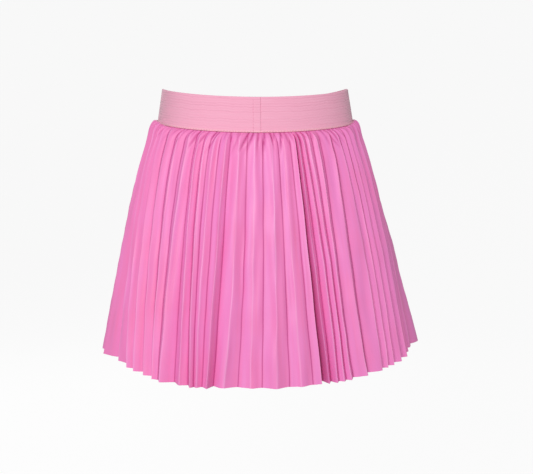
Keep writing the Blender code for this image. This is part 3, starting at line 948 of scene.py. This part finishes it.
def make_elastic():
    finish = Finish("ribbed_elastic", roughness=0.85, sheen_weight=0.3, sheen_roughness=0.45)
    place = finish.node("ShaderNodeUVMap", {"uv_map": "flat"})
    rib = finish.node("ShaderNodeAttribute", {"attribute_name": "crease"}, output="Fac")
    along = finish.node("ShaderNodeSeparateXYZ", (), {"Vector": place}, output="X")
    down = finish.node("ShaderNodeSeparateXYZ", (), {"Vector": place}, output="Y")
    selvedge = ((down - (BAND_HEIGHT - SELVEDGE_WIDTH)) * (1 / SELVEDGE_FADE)).within() * SELVEDGE_SHARE
    side = finish.node("ShaderNodeAttribute", {"attribute_name": "pleat"}, output="Fac")
    yarn = (along * (2 * np.pi / YARN_PITCH)).math("SINE") * 0.5 + 0.5
    stretched = finish.node("ShaderNodeMapping", (), {"Vector": place, "Scale": STREAKS_PER_METRE})
    streak = finish.node("ShaderNodeTexNoise", (), {"Vector": stretched, "Scale": 1.0, "Detail": 3.0})
    pale = (streak - PALE_STREAKS.floor) * PALE_STREAKS.gain + yarn * YARN_SHARE
    ground = finish.blend(pale.within(), ELASTIC_PINK, ELASTIC_PALE)
    # Painted shade in the grooves, broken up by the streaks.
    groove_shade = (GROOVE_SHADE_SHARE - rib * GROOVE_SHADE_SHARE) * ((streak - GROOVE_SHADE_STREAKS.floor) * GROOVE_SHADE_STREAKS.gain)
    groove_shaded = finish.blend(groove_shade.within(), ground, ELASTIC_GROOVE_SHADE)
    edged = finish.blend(selvedge, groove_shaded, ELASTIC_SELVEDGE)
    # Painted shade at the sides, which turn away from the light, streaked grey along the ribs.
    side_shade = side * (streak - SIDE_SHADE_STREAKS.floor) * SIDE_SHADE_STREAKS.gain
    colour = finish.blend(side_shade.within(), edged, ELASTIC_SIDE_SHADE)
    bump = finish.node("ShaderNodeBump", (), {
        "Strength": 0.45, "Distance": YARN_HEIGHT, "Height": yarn * YARN_RELIEF + streak,
    })
    finish.feed(base_color=colour, normal=bump)
    return finish.material


ribbed_elastic = make_elastic()
waistband = wall("waistband_elastic", outer, inner, light_and_shade, side, (ribbed_elastic, ribbed_elastic))
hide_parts("waistband")
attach(waistband, "root")

# %% [markdown]
# ## Stitches
#
# A row of thread holds the elastic's lower edge to the panels, and a short row holds the allowance of the
# join. A stitch is a small spindle: rings of points whose radius grows from a point and shrinks again. All
# stitches are one mesh, which is the same spindle set down many times by arrays.

# %% Threads
STITCH_LENGTH = 3.1 * MM
STITCH_PITCH = 4.2 * MM
THREAD_RADIUS = 0.28 * MM
STITCH_RINGS = 5
STITCH_SIDES = 6
STITCH_BLUNTNESS = 0.08  # a stitch's radius at its ends, beside the thread's
STITCH_RISE = 1.7 * MM  # of the lower row, above the band's edge
STITCH_LIFT = 0.26 * MM  # of its middles, above the band's points
ROW_BESIDE_JOIN = (3 * MM, BAND_HEIGHT - 2 * MM)  # from and to, down the band
LIFT_BESIDE_JOIN = 0.42 * MM
LINE_STEPS = 2000  # chords that measure the way round the band
NEARBY_TURN = 0.001
NEARBY_RISE = 0.1 * MM


def spindles(name, middles, along, out, finish):
    """One mesh of stitches, each a spindle of radius thread * (1.08 - t**4), for t from -1 to 1 along it."""
    t = np.linspace(-1, 1, STITCH_RINGS)
    angle = np.arange(STITCH_SIDES) * 2 * np.pi / STITCH_SIDES
    across = np.cross(along, out)
    radius = (THREAD_RADIUS * (1 + STITCH_BLUNTNESS - t ** 4))[:, None]
    lengthwise = along[:, None, None, :] * (t * STITCH_LENGTH / 2)[None, :, None, None]
    outward = out[:, None, None, :] * (radius * np.cos(angle))[None, ..., None]
    crosswise = across[:, None, None, :] * (radius * np.sin(angle))[None, ..., None]
    points = middles[:, None, None, :] + lengthwise + outward + crosswise
    count = STITCH_RINGS * STITCH_SIDES
    index = np.arange(count).reshape(STITCH_RINGS, STITCH_SIDES)
    index = np.concatenate([index, index[:, :1]], axis=1)
    one = grid_faces(index)
    quads = (one[None] + count * np.arange(len(middles))[:, None, None]).reshape(-1, 4).tolist()
    caps = [
        (cap + count * i).tolist() for i in range(len(middles)) for cap in (index[0, :-1], index[-1, -2::-1])
    ]
    mesh = bpy.data.meshes.new(name)
    mesh.from_pydata(points.reshape(-1, 3), [], quads + caps)
    mesh.shade_smooth()
    mesh.materials.append(finish)
    piece = bpy.data.objects.new(name, mesh)
    bpy.context.collection.objects.link(piece)
    print(f"{name}: {len(middles)} stitches, {sum(len(face) - 2 for face in quads + caps)} triangles")
    return piece


def stitch_places():
    """Middles, directions and outward directions of the stitches, from the band's own section."""
    levels = (BAND_TOP, BAND_FOOT)
    turns = np.linspace(0, 2 * np.pi, LINE_STEPS + 1)
    line, _ = section(turns, 0 * turns - STITCH_RISE, levels)
    arc = np.append(0, np.linalg.norm(np.diff(line, axis=0), axis=-1).cumsum())
    at = np.interp(np.arange(STITCH_PITCH, arc[-1] - STITCH_PITCH / 2, STITCH_PITCH), arc, turns)
    middles, out = section(at, 0 * at - STITCH_RISE, levels)
    ahead, _ = section(at + NEARBY_TURN, 0 * at - STITCH_RISE, levels)
    rise = np.arange(*ROW_BESIDE_JOIN, STITCH_PITCH)
    up_turns = 0 * rise - ALLOWANCE / (BAND_FOOT.left * MM)
    up_middles, up_out = section(up_turns, -rise, levels)
    higher, _ = section(up_turns, -rise - NEARBY_RISE, levels)
    along = np.concatenate([ahead - middles, higher - up_middles])
    lift = np.concatenate([np.full(len(middles), STITCH_LIFT), np.full(len(up_middles), LIFT_BESIDE_JOIN)])
    out = np.concatenate([out, up_out])
    middles = np.concatenate([middles, up_middles]) + out * lift[:, None]
    return middles, along / np.linalg.norm(along, axis=-1, keepdims=True), out


THREAD_PINK = (0.62, 0.20, 0.34, 1)
TWISTS_PER_METRE = 2500.0
TWIST_HEIGHT = 0.1 * MM


def make_thread():
    finish = Finish("sewing_thread", roughness=0.6, sheen_weight=0.2)
    place = finish.node("ShaderNodeTexCoord", output="Object")
    twist = finish.node("ShaderNodeTexNoise", (), {"Vector": place, "Scale": TWISTS_PER_METRE, "Detail": 1.0})
    bump = finish.node("ShaderNodeBump", (), {"Strength": 0.4, "Distance": TWIST_HEIGHT, "Height": twist})
    finish.feed(base_color=finish.blend(twist, THREAD_PINK, ELASTIC_PINK), normal=bump)
    return finish.material


stitches = spindles("waistband_stitches", *stitch_places(), make_thread())
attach(stitches, "root")

# %% [markdown]
# ## A pale studio
#
# The skirt hangs at the height of a waist above a pale floor. The floor curves up into a wall all round, a
# shape that photographers call a sweep, so a view from the side or from above shows no horizon. A large
# soft light stands in front, to the left of the skirt, and another behind it, which no shine shows. The
# bright room fills in the shade from all other sides, which keeps the folds readable.

# %% Floor, walls and light
FLOOR_DEPTH = 1.03  # below the waist
STAGE_RADIUS = 4.0
STAGE_CURVE = 1.2
STAGE_WALL = 3.2
STAGE_SEGMENTS = 96
STAGE_CURVE_STEPS = 12
STAGE_GREY = 0.08
STAGE_GLOW = 0.885
ROOM_GLOW = 0.47
SKIRT_MIDDLE = (0, 0, -0.15)


def make_stage():
    """A bowl: the line of floor, quarter circle and wall, turned round the Z axis."""
    bend = np.linspace(0, np.pi / 2, STAGE_CURVE_STEPS + 1)
    radius = np.concatenate([[0.0], STAGE_RADIUS - STAGE_CURVE + STAGE_CURVE * np.sin(bend), [STAGE_RADIUS]])
    rise = np.concatenate([[0], STAGE_CURVE * (1 - np.cos(bend)), [STAGE_WALL]]) - FLOOR_DEPTH
    angle = np.linspace(0, 2 * np.pi, STAGE_SEGMENTS + 1)[:, None]
    points = np.stack([radius * np.cos(angle), radius * np.sin(angle), rise + 0 * angle], axis=-1)
    index = np.arange(points.size // 3).reshape(points.shape[:2])
    mesh = bpy.data.meshes.new("stage")
    mesh.from_pydata(points.reshape(-1, 3), [], grid_faces(index))
    mesh.shade_smooth()
    finish = Finish("pale_stage", roughness=0.9, base_color=(STAGE_GREY, STAGE_GREY, STAGE_GREY, 1),
                    emission_color=(1, 1, 1, 1), emission_strength=STAGE_GLOW)
    mesh.materials.append(finish.material)
    stage = bpy.data.objects.new("stage", mesh)
    stage.visible_diffuse = stage.visible_glossy = stage.visible_shadow = False
    bpy.context.collection.objects.link(stage)


def soft_light(name, place, size, watts, shines=True):
    """A square area light that faces the skirt. The camera doesn't see it, and shines says if gloss does."""
    light = bpy.data.lights.new(name, "AREA")
    light.size = size
    light.energy = watts
    lamp = bpy.data.objects.new(name, light)
    lamp.location = place
    lamp.rotation_euler = (Vector(SKIRT_MIDDLE) - Vector(place)).to_track_quat("-Z", "Y").to_euler()
    lamp.visible_camera = False
    lamp.visible_glossy = shines
    bpy.context.collection.objects.link(lamp)


make_stage()
soft_light("front_light", place=(-0.66, -2.35, 0.9), size=1.1, watts=40)
soft_light("rear_light", place=(-0.9, 2.3, 1.1), size=1.8, watts=32, shines=False)
world = bpy.data.worlds.new("studio")
world.use_nodes = True
world.node_tree.nodes["Background"].inputs["Color"].default_value = (1, 1, 1, 1)
world.node_tree.nodes["Background"].inputs["Strength"].default_value = ROOM_GLOW
bpy.context.scene.world = world
bpy.context.scene.view_settings.view_transform = "Standard"
print("stage and two lights ready")
